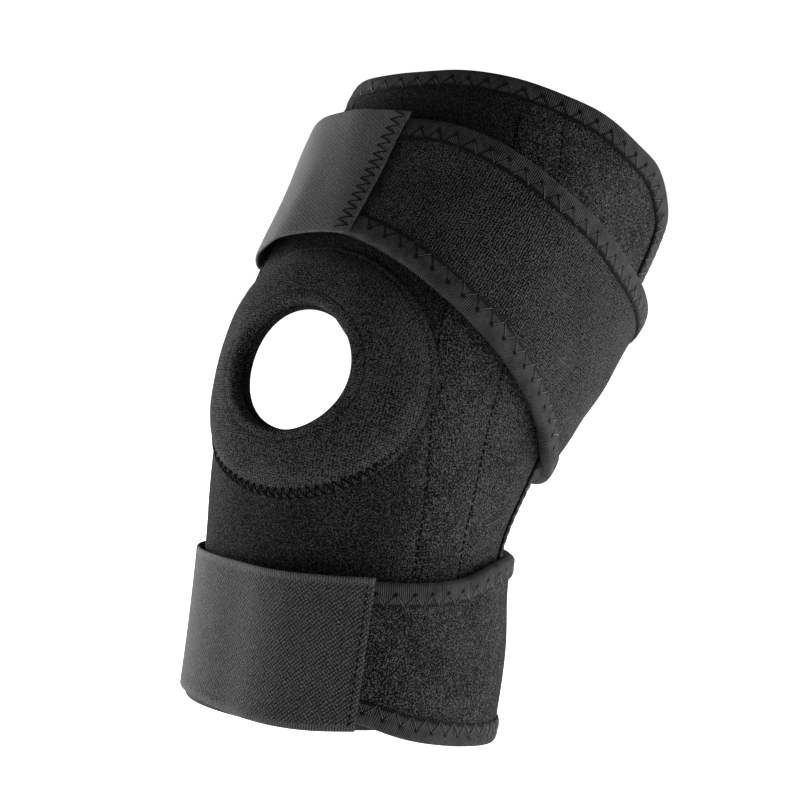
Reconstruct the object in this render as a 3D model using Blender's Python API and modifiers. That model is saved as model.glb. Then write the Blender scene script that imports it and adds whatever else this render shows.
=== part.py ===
"""Open-patella knee brace in its worn, half-bent form, with nothing inside it.

Every sheet is drawn on a leg surface, by an angle, a station and a height. Angle 0 is the front of
the knee and turns towards +X, in degrees. A station is a length along the bent axis of the leg,
0 at the knee and positive up the thigh. A height is a distance out from the leg. Both wings are
sewn on at the -X side, go round the back and come forward over the +X side, and each strap
closes over the front end of its wing.
"""

import bmesh
import bpy
import numpy as np
from mathutils import Vector
from mathutils.geometry import delaunay_2d_cdt

# Leg surface, in metres and degrees
CALF_TILT = 15.0
THIGH_TILT = 50.0
BEND_LENGTH = 0.110
THIGH_REACH = 0.122
CALF_REACH = 0.135
KNEE_HALF_WIDTH = 0.061
KNEE_FRONT = 0.070
KNEE_BACK = 0.060
SQUARENESS = 2.4

# Cloth, in metres
BODY_WALL = 0.003
WING_WALL = 0.0026
STRAP_WALL = 0.0014
HOOK_WALL = 0.001
TAPE_WALL = 0.001
TAPE_WIDTH = 0.0098
EDGE_INSET = 0.0017
FOLD_INSET = 0.001
GAP = 0.0004

# Patella opening and its pad, in metres and degrees
HOLE_ANGLE = -2.5
HOLE_STATION = -0.0084
HOLE_WIDTH = 0.0526
HOLE_HEIGHT = 0.0508
PAD_WIDTH = 0.121
PAD_HEIGHT = 0.105
PAD_THICKNESS = 0.0052

# Where the wings and straps begin and end, in degrees
THIGH_WING_FRONT = -20.0
CALF_WING_FRONT = 18.0
WING_ROOT = 278.0
THIGH_STRAP_END = 2.0
CALF_STRAP_END = 39.0
STRAP_ROOT = -72.0

# Heights of the layers: a tape stands proud of its sheet, and the next layer clears the tape
TAPE_OUT = GAP + TAPE_WALL
OVER_BODY = BODY_WALL + GAP
OVER_BODY_TAPE = BODY_WALL + TAPE_OUT + GAP
WING_LEVEL = OVER_BODY_TAPE + TAPE_OUT
OVER_WING = WING_LEVEL + WING_WALL + TAPE_OUT + GAP

# Hook patch under the thigh strap's end, in degrees and shares of the thigh's reach
HOOK_LEFT = -16.0
HOOK_CORNER = 5.6
HOOK_SLANT = 9.0
HOOK_BOTTOM = 0.365
HOOK_TOP = 0.50

# Mesh steps, in degrees, metres and counts
ANGLE_STEP = 6.8
STRAP_STEP = 4.8
ROW_STEP = 0.015
EDGE_STEP = 0.0095
PANEL_COLUMN_STEP = 8.2
PANEL_ROW_STEP = 0.0128
LEAST_APART = 0.0054
HOLE_SIDES = 38
PAD_SIDES = 42

# Slopes of the leg are read over these half steps, which rounds off its creases
NORMAL_TURN = 1.0
NORMAL_RISE = 0.004

# Sections of the leg: station as a share of the reach, then shares of the knee's
# half width, front depth and back depth, and the sideways shift as a share of the half width
SECTIONS = (
    (-1.11, 0.918, 0.871, 0.817, 0.0),
    (-0.74, 0.918, 0.871, 0.850, -0.010),
    (-0.48, 0.900, 0.905, 0.767, -0.033),
    (-0.15, 0.967, 1.000, 0.900, -0.008),
    (0.16, 1.033, 1.000, 1.100, 0.004),
    (0.37, 1.057, 0.971, 1.183, 0.015),
    (0.64, 1.090, 1.000, 1.183, 0.014),
    (0.90, 1.098, 0.971, 1.233, 0.016),
    (1.15, 1.148, 0.993, 1.308, 0.022),
)

# Outline of the body, clockwise from the -X side above the knee: angle, share of the reach
BODY_OUTLINE = (
    (-100, 0.49),
    (-104, 0.61),
    (-102, 0.75),
    (-90, 0.885),
    (-70, 0.94),
    (-45, 0.93),
    (-26, 0.903),
    (-12, 0.912),
    (3, 0.94),
    (23, 0.963),
    (40, 0.983),
    (54, 1.01),
    (70, 1.025),
    (86, 1.045),
    (98, 1.025),
    (108, 0.985),
    (114, 0.89),
    (116.5, 0.775),
    (117, 0.61),
    (118, 0.41),
    (120, 0.16),
    (122, -0.04),
    (122, -0.20),
    (121, -0.33),
    (121, -0.44),
    (121, -0.59),
    (116, -0.81),
    (109, -0.92),
    (93, -0.945),
    (60, -0.95),
    (40, -0.965),
    (21, -0.985),
    (0, -0.995),
    (-28, -1.0),
    (-60, -0.995),
    (-92, -0.985),
    (-103, -0.92),
    (-105, -0.74),
    (-104, -0.52),
    (-100, -0.34),
    (-88, -0.20),
    (-69, -0.10),
    (-63, 0.03),
    (-65, 0.10),
    (-74, 0.17),
    (-88, 0.24),
    (-98, 0.35),
)

# Edges of the wings and straps: angle, share of the thigh's or the calf's reach
THIGH_WING_TOP = (
    (-20, 0.64),
    (3, 0.664),
    (15, 0.676),
    (32, 0.672),
    (53, 0.658),
    (71, 0.668),
    (89, 0.678),
    (111, 0.702),
    (135, 0.73),
    (165, 0.76),
    (200, 0.77),
    (240, 0.76),
    (278, 0.72),
)
THIGH_WING_BOTTOM = (
    (-20, 0.275),
    (0, 0.265),
    (22, 0.225),
    (39, 0.18),
    (59, 0.125),
    (74, 0.08),
    (94, 0.006),
    (108, -0.068),
    (120, -0.104),
    (135, -0.122),
    (150, -0.10),
    (175, -0.02),
    (200, 0.13),
    (215, 0.225),
    (230, 0.31),
    (246, 0.385),
    (260, 0.415),
    (278, 0.44),
)
THIGH_STRAP_TOP = ((-72, 0.71), (-60, 0.69), (-46, 0.668), (-25, 0.665), (-10, 0.67), (2, 0.675))
THIGH_STRAP_BOTTOM = (
    (-72, 0.285),
    (-60, 0.24),
    (-46, 0.205),
    (-30, 0.213),
    (-19, 0.232),
    (-10, 0.246),
    (2, 0.254),
)
CALF_WING_TOP = (
    (18, -0.525),
    (37, -0.512),
    (54, -0.505),
    (76, -0.487),
    (103, -0.432),
    (125, -0.430),
    (150, -0.42),
    (190, -0.43),
    (230, -0.467),
    (278, -0.50),
)
CALF_WING_BOTTOM = (
    (18, -0.905),
    (41, -0.938),
    (55, -0.969),
    (78, -0.995),
    (102, -1.008),
    (140, -1.008),
    (200, -0.993),
    (278, -0.963),
)
CALF_STRAP_TOP = ((-72, -0.541), (-37, -0.533), (7, -0.516), (39, -0.490))
CALF_STRAP_BOTTOM = ((-72, -0.970), (-34, -0.976), (2, -0.985), (22, -0.978), (39, -0.957))

# Height of each strap's inner face: angle, then the share of its climb to the wing, at the
# strap's bottom edge and at its top edge
THIGH_STRAP_CLIMB = (
    (-72, 0.0, 0.0), (-62, 0.0, 0.26), (-46, 0.20, 0.76), (-33, 0.70, 0.98), (-24, 1.0, 1.0), (2, 1.0, 1.0),
)
CALF_STRAP_CLIMB = (
    (-72, 0.0, 0.0), (-22, 0.0, 0.0), (-10, 0.15, 0.15), (3, 0.75, 0.75), (13, 1.0, 1.0), (39, 1.0, 1.0),
)

# The thigh wing settles on the body at its sewn root: angle, share of the drop
THIGH_WING_DROP = ((-20, 0.0), (262, 0.0), (269.5, 0.0), (276, 0.95), (278, 1.0))

# Section of the pad, once round: share of its width from the opening, share of its thickness
PAD_SECTION = (
    (0.00, 0.02),
    (0.32, 0.04),
    (0.65, 0.05),
    (0.98, 0.03),
    (1.00, 0.16),
    (0.86, 0.48),
    (0.66, 0.88),
    (0.42, 1.00),
    (0.18, 0.92),
    (0.03, 0.62),
)


def smooth_through(rows, where, column=1):
    """A smooth curve through two columns of a table, level beyond both ends."""
    table = np.array(rows, float)
    xs, ys = table[:, 0], table[:, column]
    slopes = np.gradient(ys, xs)
    i = np.clip(np.searchsorted(xs, where) - 1, 0, len(xs) - 2)
    step = xs[i + 1] - xs[i]
    t = np.clip((where - xs[i]) / step, 0.0, 1.0)
    start = (1 + 2 * t) * (1 - t) ** 2 * ys[i] + t * (1 - t) ** 2 * step * slopes[i]
    end = t * t * (3 - 2 * t) * ys[i + 1] - t * t * (1 - t) * step * slopes[i + 1]
    return start + end


def station_at(share):
    """A share of the thigh's reach upwards, or of the calf's downwards, as a station."""
    return np.where(share > 0, share * THIGH_REACH, share * CALF_REACH)


def share_at(station):
    return np.where(station > 0, station / THIGH_REACH, station / CALF_REACH)


def leg_axis(station):
    """The axis is two straight lines joined by one arc: its y, its z and its tilt."""
    calf, thigh = np.radians(CALF_TILT), np.radians(THIGH_TILT)
    middle = (calf + thigh) / 2
    curvature = (thigh - calf) / BEND_LENGTH
    bent = np.clip(station, -BEND_LENGTH / 2, BEND_LENGTH / 2)
    tilt = middle + curvature * bent
    straight = station - bent
    y = (np.cos(middle) - np.cos(tilt)) / curvature + straight * np.sin(tilt)
    z = (np.sin(tilt) - np.sin(middle)) / curvature + straight * np.cos(tilt)
    return y, z, tilt


def leg_skin(angle, station):
    """Points on the bare leg, for arrays of angles and stations."""
    turn = np.radians(angle)
    share = share_at(station)
    width = KNEE_HALF_WIDTH * smooth_through(SECTIONS, share, 1)
    front = KNEE_FRONT * smooth_through(SECTIONS, share, 2)
    back = KNEE_BACK * smooth_through(SECTIONS, share, 3)
    depth = np.where(np.cos(turn) > 0, front, back)
    rounded = np.abs(np.sin(turn) / width) ** SQUARENESS + np.abs(np.cos(turn) / depth) ** SQUARENESS
    radius = rounded ** (-1 / SQUARENESS)
    y, z, tilt = leg_axis(station)
    sideways = radius * np.sin(turn) + KNEE_HALF_WIDTH * smooth_through(SECTIONS, share, 4)
    forward = radius * np.cos(turn)
    return np.stack([sideways, y - forward * np.cos(tilt), z + forward * np.sin(tilt)], -1)


def on_leg(angle, station, height):
    """Points at a height above the leg, measured square to its surface."""
    turn, rise = NORMAL_TURN, NORMAL_RISE
    around = leg_skin(angle + turn, station) - leg_skin(angle - turn, station)
    upward = leg_skin(angle, station + rise) - leg_skin(angle, station - rise)
    out = np.cross(around, upward)
    out /= np.linalg.norm(out, axis=-1)[..., None]
    return leg_skin(angle, station) + out * np.asarray(height)[..., None]


def edge(rows, angles):
    """A path of (angle, station) along an edge given by a table."""
    return np.column_stack([angles, station_at(smooth_through(rows, angles))])


def moved_in(path, distance, height, closed=False):
    """The path moved to its left by a distance on the leg, at the given height."""
    if closed:
        ahead, behind = np.roll(path, -1, axis=0), np.roll(path, 1, axis=0)
    else:
        ahead, behind = np.vstack([path[1:], path[-1:]]), np.vstack([path[:1], path[:-1]])
    angle, station = path.T
    turn, rise = NORMAL_TURN, NORMAL_RISE
    around = on_leg(angle + turn, station, height) - on_leg(angle - turn, station, height)
    upward = on_leg(angle, station + rise, height) - on_leg(angle, station - rise, height)
    per_degree = np.linalg.norm(around, axis=1) / (2 * turn)
    per_metre = np.linalg.norm(upward, axis=1) / (2 * rise)
    scale = np.column_stack([per_degree, per_metre])
    run = (ahead - behind) * scale
    run /= np.linalg.norm(run, axis=1)[:, None]
    return path + distance * np.column_stack([-run[:, 1], run[:, 0]]) / scale


def closed_outline(rows, spacing):
    """The body's outline, evenly spaced, through the points of its table."""
    corners = np.array([(angle, station_at(share)) for angle, share in rows], float)
    around = np.vstack([corners[-2:], corners, corners[:3]])
    steps = np.diff(around, axis=0) * (np.radians(KNEE_HALF_WIDTH), 1.0)
    length = np.concatenate([[0.0], np.cumsum(np.linalg.norm(steps, axis=1))])
    start, end = length[2], length[2 + len(corners)]
    where = np.linspace(start, end, round((end - start) / spacing), endpoint=False)
    table = np.column_stack([length, around])
    return np.column_stack([smooth_through(table, where, 1), smooth_through(table, where, 2)])


def front_ellipse(width, height, count):
    """An ellipse round the patella, as a path of (angle, station)."""
    front = KNEE_FRONT + BODY_WALL
    stretch = 1 + front * np.radians(THIGH_TILT - CALF_TILT) / BEND_LENGTH
    turn = np.linspace(0, 2 * np.pi, count, endpoint=False)
    angle = HOLE_ANGLE + np.degrees(np.cos(turn) * width / 2 / front)
    return np.column_stack([angle, HOLE_STATION + np.sin(turn) * height / 2 / stretch])


def cloth(name, colour, roughness):
    """The plain finish of one cloth."""
    material = bpy.data.materials.new(name)
    material.use_nodes = True
    shader = material.node_tree.nodes["Principled BSDF"]
    shader.inputs["Base Color"].default_value = (*colour, 1.0)
    shader.inputs["Roughness"].default_value = roughness
    shader.inputs["Metallic"].default_value = 0.0
    return material


def add_piece(name, mesh_maker, material, wall=0.0):
    """One named piece of the brace; a wall turns its open sheet into cloth of that thickness."""
    mesh = bpy.data.meshes.new(name)
    mesh_maker.to_mesh(mesh)
    mesh_maker.free()
    mesh.shade_smooth()
    mesh.materials.append(material)
    piece = bpy.data.objects.new(name, mesh)
    brace.objects.link(piece)
    if wall:
        thicken = piece.modifiers.new("Wall", "SOLIDIFY")
        thicken.thickness = wall
        thicken.offset = 0.0
        thicken.use_even_offset = True
    return piece


def grid_through(points, close_columns=False, close_rows=False):
    """A grid of quads through an array of points; a closed one has its first line again as its last."""
    if close_rows:
        points = np.concatenate([points, points[:1]])
    if close_columns:
        points = np.concatenate([points, points[:, :1]], axis=1)
    rows, columns = points.shape[0] - 1, points.shape[1] - 1
    maker = bmesh.new()
    bmesh.ops.create_grid(maker, x_segments=columns, y_segments=rows, size=0.5)
    for vertex in maker.verts:
        row = round((vertex.co.y + 0.5) * rows)
        column = round((vertex.co.x + 0.5) * columns)
        vertex.co = Vector(points[row, column])
    if close_rows or close_columns:
        bmesh.ops.remove_doubles(maker, verts=maker.verts, dist=1e-6)
    return maker


def settled(drop_rows, angles):
    """How far a sheet has settled towards the body at each angle."""
    if not drop_rows:
        return 0.0 * angles
    return (OVER_BODY_TAPE - OVER_BODY) * np.clip(smooth_through(drop_rows, angles), 0.0, 1.0)


def add_tape(name, path, inward, middle, sheet_wall, drop_rows=None, closed=False):
    """Binding folded round a sheet's edge: two legs and the fold between them."""
    out = sheet_wall / 2 + GAP + TAPE_WALL / 2
    fold = ((TAPE_WIDTH, -1), (FOLD_INSET, -1), (0.0, 0), (FOLD_INSET, 1), (TAPE_WIDTH, 1))
    lines = []
    for inset, side in fold:
        line = moved_in(path, inward * inset, middle + side * out, closed)
        height = middle + side * out - settled(drop_rows, line[:, 0])
        lines.append(on_leg(line[:, 0], line[:, 1], height))
    return add_piece(name, grid_through(np.array(lines), close_columns=closed), binding, TAPE_WALL)


def add_body():
    """The front panel with its patella opening, cut back behind the knee on both sides."""
    middle = BODY_WALL / 2
    cut = closed_outline(BODY_OUTLINE, EDGE_STEP)
    outline = moved_in(cut, -EDGE_INSET, middle, closed=True)
    opening = front_ellipse(HOLE_WIDTH, HOLE_HEIGHT, HOLE_SIDES)
    rings = np.vstack([outline, opening])
    flat = np.array([np.radians(KNEE_HALF_WIDTH), 1.0])
    columns = np.arange(outline[:, 0].min(), outline[:, 0].max(), PANEL_COLUMN_STEP)
    rows = np.arange(outline[:, 1].min(), outline[:, 1].max(), PANEL_ROW_STEP)
    inner = np.stack(np.meshgrid(columns, rows), -1).reshape(-1, 2)
    apart = np.linalg.norm((inner[:, None] - rings[None]) * flat, axis=2).min(axis=1)
    points = np.vstack([rings, inner[apart > LEAST_APART]]) * flat
    edges = []
    for first, count in ((0, len(outline)), (len(outline), len(opening))):
        edges += [(first + i, first + (i + 1) % count) for i in range(count)]
    inside_edges = 1
    flat_points = [Vector(point) for point in points]
    corners, _, triangles, *_ = delaunay_2d_cdt(flat_points, edges, [], inside_edges, 1e-7)
    drawn = np.array([tuple(corner) for corner in corners]) / flat
    centre = opening.mean(axis=0)
    reach = (opening - centre).max(axis=0)

    def in_opening(triangle):
        place = drawn[list(triangle)].mean(axis=0)
        return np.linalg.norm((place - centre) / reach) < 1.0

    maker = bmesh.new()
    places = on_leg(drawn[:, 0], drawn[:, 1], middle)
    vertices = [maker.verts.new(Vector(place)) for place in places]
    for triangle in triangles:
        if not in_opening(triangle):
            maker.faces.new([vertices[i] for i in triangle])
    loose = [vertex for vertex in maker.verts if not vertex.link_faces]
    bmesh.ops.delete(maker, geom=loose, context="VERTS")
    add_piece("body_panel", maker, neoprene, BODY_WALL)
    add_tape("body_binding", cut, -1, middle, BODY_WALL, closed=True)


def add_pad():
    """The padded ring round the patella opening, domed and thin at its sewn rim."""
    inner = front_ellipse(HOLE_WIDTH + 2 * GAP, HOLE_HEIGHT + 2 * GAP, PAD_SIDES)
    outer = front_ellipse(PAD_WIDTH, PAD_HEIGHT, PAD_SIDES)
    lines = []
    for across, up in PAD_SECTION:
        line = inner + (outer - inner) * across
        lines.append(on_leg(line[:, 0], line[:, 1], OVER_BODY + up * PAD_THICKNESS))
    maker = grid_through(np.array(lines), close_columns=True, close_rows=True)
    bmesh.ops.recalc_face_normals(maker, faces=maker.faces)
    add_piece("patella_ring", maker, pad_cloth)


def add_wing(name, front, edges, cloth_of_wing, drop_rows=None):
    """A wing from its front end to its sewn root, and the tapes on its two long edges."""
    top_rows, bottom_rows = edges
    columns = round((WING_ROOT - front) / ANGLE_STEP)
    angles = np.linspace(front, WING_ROOT, columns + 1)
    middle = WING_LEVEL + WING_WALL / 2
    top, bottom = edge(top_rows, angles), edge(bottom_rows, angles)
    high = moved_in(top, -EDGE_INSET, middle)
    low = moved_in(bottom, EDGE_INSET, middle)
    rows = round(np.max(top[:, 1] - bottom[:, 1]) / ROW_STEP)
    lines = []
    for share in np.linspace(0, 1, rows + 1):
        line = low + (high - low) * share
        lines.append(on_leg(line[:, 0], line[:, 1], middle - settled(drop_rows, line[:, 0])))
    add_piece(name, grid_through(np.array(lines)), cloth_of_wing, WING_WALL)
    add_tape(name + "_top_binding", top, -1, middle, WING_WALL, drop_rows)
    add_tape(name + "_bottom_binding", bottom, 1, middle, WING_WALL, drop_rows)


def add_strap(name, end, low_level, edges, climb_rows, webbing):
    """An elastic strap from its sewn root to its free end over the wing."""
    top_rows, bottom_rows = edges
    columns = round((end - STRAP_ROOT) / STRAP_STEP)
    angles = np.linspace(STRAP_ROOT, end, columns + 1)
    low_climb, high_climb = (np.clip(smooth_through(climb_rows, angles, k), 0.0, 1.0) for k in (1, 2))
    top, bottom = edge(top_rows, angles), edge(bottom_rows, angles)
    rows = round(np.max(top[:, 1] - bottom[:, 1]) / ROW_STEP)
    lines = []
    for share in np.linspace(0, 1, rows + 1):
        line = bottom + (top - bottom) * share
        climb = low_climb + (high_climb - low_climb) * share
        height = low_level + (OVER_WING - low_level) * climb + STRAP_WALL / 2
        lines.append(on_leg(line[:, 0], line[:, 1], height))
    add_piece(name, grid_through(np.array(lines)), webbing, STRAP_WALL)


def add_hook_pad():
    """The hook patch under the thigh strap's end; one slanted corner shows beside the strap."""
    height = WING_LEVEL + WING_WALL + GAP + HOOK_WALL / 2
    lines = []
    for share in np.linspace(0, 1, 4):
        angles = np.linspace(HOOK_LEFT, HOOK_CORNER - HOOK_SLANT * share, 5)
        station = station_at(np.full_like(angles, HOOK_BOTTOM + (HOOK_TOP - HOOK_BOTTOM) * share))
        lines.append(on_leg(angles, station, height))
    add_piece("thigh_hook_pad", grid_through(np.array(lines)), hook_tape, HOOK_WALL)


for old in list(bpy.data.objects):
    bpy.data.objects.remove(old, do_unlink=True)
brace = bpy.data.collections.new("knee_brace")
bpy.context.scene.collection.children.link(brace)

neoprene = cloth("loop_faced_neoprene", (0.050, 0.050, 0.053), 0.95)
pad_cloth = cloth("pad_jersey", (0.055, 0.055, 0.058), 0.90)
wing_knit = cloth("wing_knit", (0.045, 0.045, 0.048), 0.90)
binding = cloth("binding_tape", (0.070, 0.070, 0.072), 0.80)
thigh_webbing = cloth("thigh_webbing", (0.150, 0.150, 0.150), 0.75)
calf_webbing = cloth("calf_webbing", (0.095, 0.095, 0.095), 0.80)
hook_tape = cloth("hook_tape", (0.090, 0.090, 0.090), 0.70)

add_body()
add_pad()
thigh_wing_edges = (THIGH_WING_TOP, THIGH_WING_BOTTOM)
calf_wing_edges = (CALF_WING_TOP, CALF_WING_BOTTOM)
add_wing("thigh_wing", THIGH_WING_FRONT, thigh_wing_edges, wing_knit, THIGH_WING_DROP)
add_wing("calf_wing", CALF_WING_FRONT, calf_wing_edges, neoprene)
thigh_strap_edges = (THIGH_STRAP_TOP, THIGH_STRAP_BOTTOM)
calf_strap_edges = (CALF_STRAP_TOP, CALF_STRAP_BOTTOM)
add_strap("thigh_strap", THIGH_STRAP_END, OVER_BODY, thigh_strap_edges, THIGH_STRAP_CLIMB, thigh_webbing)
add_strap("calf_strap", CALF_STRAP_END, OVER_BODY_TAPE, calf_strap_edges, CALF_STRAP_CLIMB, calf_webbing)
add_hook_pad()
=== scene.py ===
"""Open-patella knee brace, held up in its worn form.

Every piece of cloth is drawn on a leg surface by an angle, a station and a height. Angle 0 is the
front of the knee and turns towards +X, in degrees. A station is a length along the bent axis of the
leg, 0 at the knee and positive up the thigh, in metres. A height is a distance out from the leg.
"""

import bpy
import numpy as np
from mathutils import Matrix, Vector
from mathutils.geometry import delaunay_2d_cdt


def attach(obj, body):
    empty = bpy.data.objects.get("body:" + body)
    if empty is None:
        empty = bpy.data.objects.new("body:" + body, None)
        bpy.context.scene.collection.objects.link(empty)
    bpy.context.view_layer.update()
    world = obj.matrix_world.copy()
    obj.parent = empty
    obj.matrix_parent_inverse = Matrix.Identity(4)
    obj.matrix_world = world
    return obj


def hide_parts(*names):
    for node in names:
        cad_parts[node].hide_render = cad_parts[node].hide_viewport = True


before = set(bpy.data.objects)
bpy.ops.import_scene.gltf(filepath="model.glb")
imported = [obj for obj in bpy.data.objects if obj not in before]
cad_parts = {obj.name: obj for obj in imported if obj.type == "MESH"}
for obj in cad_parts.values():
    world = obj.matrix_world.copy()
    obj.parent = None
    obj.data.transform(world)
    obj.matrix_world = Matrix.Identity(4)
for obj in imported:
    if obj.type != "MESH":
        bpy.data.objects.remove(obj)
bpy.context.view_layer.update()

# Front panel
# One sheet of black foam cloth, smooth jersey in front and looped pile on its flanks, cut to
# an hourglass with the patella opening in it. Long stay pockets are sewn into both flanks.

CALF_TILT, THIGH_TILT, BEND_LENGTH = 15.0, 50.0, 0.110
THIGH_REACH, CALF_REACH = 0.122, 0.135
KNEE_HALF_WIDTH, KNEE_FRONT, KNEE_BACK, SQUARENESS = 0.061, 0.070, 0.060, 2.4
BODY_WALL, GAP = 0.003, 0.0004
TAPE_WIDTH, TAPE_WALL, EDGE_INSET = 0.0098, 0.001, 0.0017
HOLE_ANGLE, HOLE_STATION, HOLE_WIDTH, HOLE_HEIGHT = -2.5, -0.0084, 0.0526, 0.0508

# station as a share of the reach, shares of half width, front depth and back depth, sideways shift
LEG_SECTIONS = (
    (-1.11, 0.918, 0.871, 0.817, 0.0),
    (-0.74, 0.918, 0.871, 0.850, -0.010),
    (-0.48, 0.900, 0.905, 0.767, -0.033),
    (-0.15, 0.967, 1.000, 0.900, -0.008),
    (0.16, 1.033, 1.000, 1.100, 0.004),
    (0.37, 1.057, 0.971, 1.183, 0.015),
    (0.64, 1.090, 1.000, 1.183, 0.014),
    (0.90, 1.098, 0.971, 1.233, 0.016),
    (1.15, 1.148, 0.993, 1.308, 0.022),
)

# angle, share of the thigh's or the calf's reach
PANEL_OUTLINE = (
    (-100, 0.49), (-104, 0.61), (-102, 0.75), (-90, 0.885), (-70, 0.94), (-45, 0.93), (-26, 0.903),
    (-12, 0.912), (3, 0.94), (23, 0.963), (40, 0.983), (54, 1.01), (70, 1.025), (86, 1.045), (98, 1.025),
    (108, 0.985), (114, 0.89), (116.5, 0.775), (117, 0.61), (118, 0.41), (120, 0.16), (122, -0.04),
    (122, -0.20), (121, -0.33), (121, -0.44), (121, -0.59), (116, -0.81), (109, -0.92), (93, -0.945),
    (60, -0.95), (40, -0.965), (21, -0.985), (0, -0.995), (-28, -1.0), (-60, -0.995), (-92, -0.985),
    (-103, -0.92), (-105, -0.74), (-104, -0.52), (-100, -0.34), (-88, -0.20), (-69, -0.10),
    (-63, 0.03), (-65, 0.10), (-74, 0.17), (-88, 0.24), (-98, 0.35),
)

# the seams of the two stay pockets: station in metres, then the angle of each seam
NEAR_STAY = (
    (-0.075, 56, 79), (-0.040, 53, 76), (-0.004, 44, 69), (0.013, 40, 66), (0.085, 35, 52),
    (0.110, 30, 44),
)
FAR_STAY = (
    (-0.075, -72, -56), (-0.040, -69, -53), (-0.004, -60, -46), (0.085, -52, -38), (0.110, -44, -32),
)
# the pockets' relief, the width of the pinch at a seam, and how softly a pocket ends
POCKET_RELIEF, SEAM_WIDTH, POCKET_FOOT, POCKET_HEAD = 0.0007, 0.0013, 0.006, 0.004

# how far to each side the leg's surface is felt for its direction, in degrees and metres
FEEL_ROUND, FEEL_UP = 1.0, 0.004
# spacing of the table that lays the leg's surface flat
MAP_TURN, MAP_RISE, MAP_TOP = 2.0, 0.004, 0.160


def smooth_through(rows, where, column=1):
    """A smooth curve through two columns of a table, level beyond both ends."""
    table = np.array(rows, float)
    xs, ys = table[:, 0], table[:, column]
    slopes = np.gradient(ys, xs)
    i = np.clip(np.searchsorted(xs, where) - 1, 0, len(xs) - 2)
    step = xs[i + 1] - xs[i]
    t = np.clip((where - xs[i]) / step, 0.0, 1.0)
    start = (1 + 2 * t) * (1 - t) ** 2 * ys[i] + t * (1 - t) ** 2 * step * slopes[i]
    return start + t * t * (3 - 2 * t) * ys[i + 1] - t * t * (1 - t) * step * slopes[i + 1]


def station_at(share):
    """The station at a share of the thigh's reach, or of the calf's where it is below 0."""
    return np.where(share > 0, share * THIGH_REACH, share * CALF_REACH)


def leg_skin(angle, station):
    """Points on the bare leg, whose axis is two straight lines joined by one arc."""
    calf, thigh = np.radians(CALF_TILT), np.radians(THIGH_TILT)
    middle, curvature = (calf + thigh) / 2, (thigh - calf) / BEND_LENGTH
    bent = np.clip(station, -BEND_LENGTH / 2, BEND_LENGTH / 2)
    tilt = middle + curvature * bent
    straight = station - bent
    y = (np.cos(middle) - np.cos(tilt)) / curvature + straight * np.sin(tilt)
    z = (np.sin(tilt) - np.sin(middle)) / curvature + straight * np.cos(tilt)
    turn = np.radians(angle)
    share = np.where(station > 0, station / THIGH_REACH, station / CALF_REACH)
    width = KNEE_HALF_WIDTH * smooth_through(LEG_SECTIONS, share, 1)
    front = KNEE_FRONT * smooth_through(LEG_SECTIONS, share, 2)
    back = KNEE_BACK * smooth_through(LEG_SECTIONS, share, 3)
    depth = np.where(np.cos(turn) > 0, front, back)
    rounded = np.abs(np.sin(turn) / width) ** SQUARENESS + np.abs(np.cos(turn) / depth) ** SQUARENESS
    radius = rounded ** (-1 / SQUARENESS)
    sideways = radius * np.sin(turn) + KNEE_HALF_WIDTH * smooth_through(LEG_SECTIONS, share, 4)
    forward = radius * np.cos(turn)
    return np.stack([sideways, y - forward * np.cos(tilt), z + forward * np.sin(tilt)], -1)


def surface_runs(angle, station):
    """The leg's surface from one side of a point to the other, round the leg and up it."""
    around = leg_skin(angle + FEEL_ROUND, station) - leg_skin(angle - FEEL_ROUND, station)
    upward = leg_skin(angle, station + FEEL_UP) - leg_skin(angle, station - FEEL_UP)
    return around, upward


def outward(angle, station):
    """The leg's outward direction, read over a few millimetres to round off its creases."""
    out = np.cross(*surface_runs(angle, station))
    return out / np.linalg.norm(out, axis=-1)[..., None]


def on_leg(angle, station, height):
    """Points at a height above the leg, measured square to its surface."""
    return leg_skin(angle, station) + outward(angle, station) * np.asarray(height)[..., None]


map_angles = np.arange(-180.0, 301.0, MAP_TURN)
map_stations = np.arange(-MAP_TOP, MAP_TOP + MAP_RISE / 2, MAP_RISE)
mapped = leg_skin(*np.meshgrid(map_angles, map_stations, indexing="ij"))
front_row = round(180 / MAP_TURN)
knee_column = round(MAP_TOP / MAP_RISE)
run_around = np.cumsum(np.linalg.norm(np.diff(mapped, axis=0, prepend=mapped[:1]), axis=2), axis=0)
run_around -= run_around[front_row]
run_up = np.cumsum(np.linalg.norm(np.diff(mapped, axis=1, prepend=mapped[:, :1]), axis=2), axis=1)
run_up -= run_up[:, knee_column, None]


def cloth_map(angle, station):
    """Where a point lies in the cloth laid flat, in metres round the leg and up it."""
    a = np.clip((angle - map_angles[0]) / MAP_TURN, 0, len(map_angles) - 1.001)
    s = np.clip((station - map_stations[0]) / MAP_RISE, 0, len(map_stations) - 1.001)
    i, j = a.astype(int), s.astype(int)
    a, s = a - i, s - j
    flat = []
    for run in (run_around, run_up):
        low = run[i, j] * (1 - a) + run[i + 1, j] * a
        high = run[i, j + 1] * (1 - a) + run[i + 1, j + 1] * a
        flat.append(low * (1 - s) + high * s)
    return np.stack(flat, -1)


def moved_in(path, distance, closed=False):
    """The path moved to its left by a distance on the cloth."""
    if closed:
        ahead, behind = np.roll(path, -1, axis=0), np.roll(path, 1, axis=0)
    else:
        ahead, behind = np.vstack([path[1:], path[-1:]]), np.vstack([path[:1], path[:-1]])
    around, upward = surface_runs(*path.T)
    per_degree = np.linalg.norm(around, axis=1) / (2 * FEEL_ROUND) * (1 + BODY_WALL / KNEE_HALF_WIDTH)
    scale = np.column_stack([per_degree, np.linalg.norm(upward, axis=1) / (2 * FEEL_UP)])
    run = (ahead - behind) * scale
    run /= np.linalg.norm(run, axis=1)[:, None]
    return path + np.reshape(distance, (-1, 1)) * np.column_stack([-run[:, 1], run[:, 0]]) / scale


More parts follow.
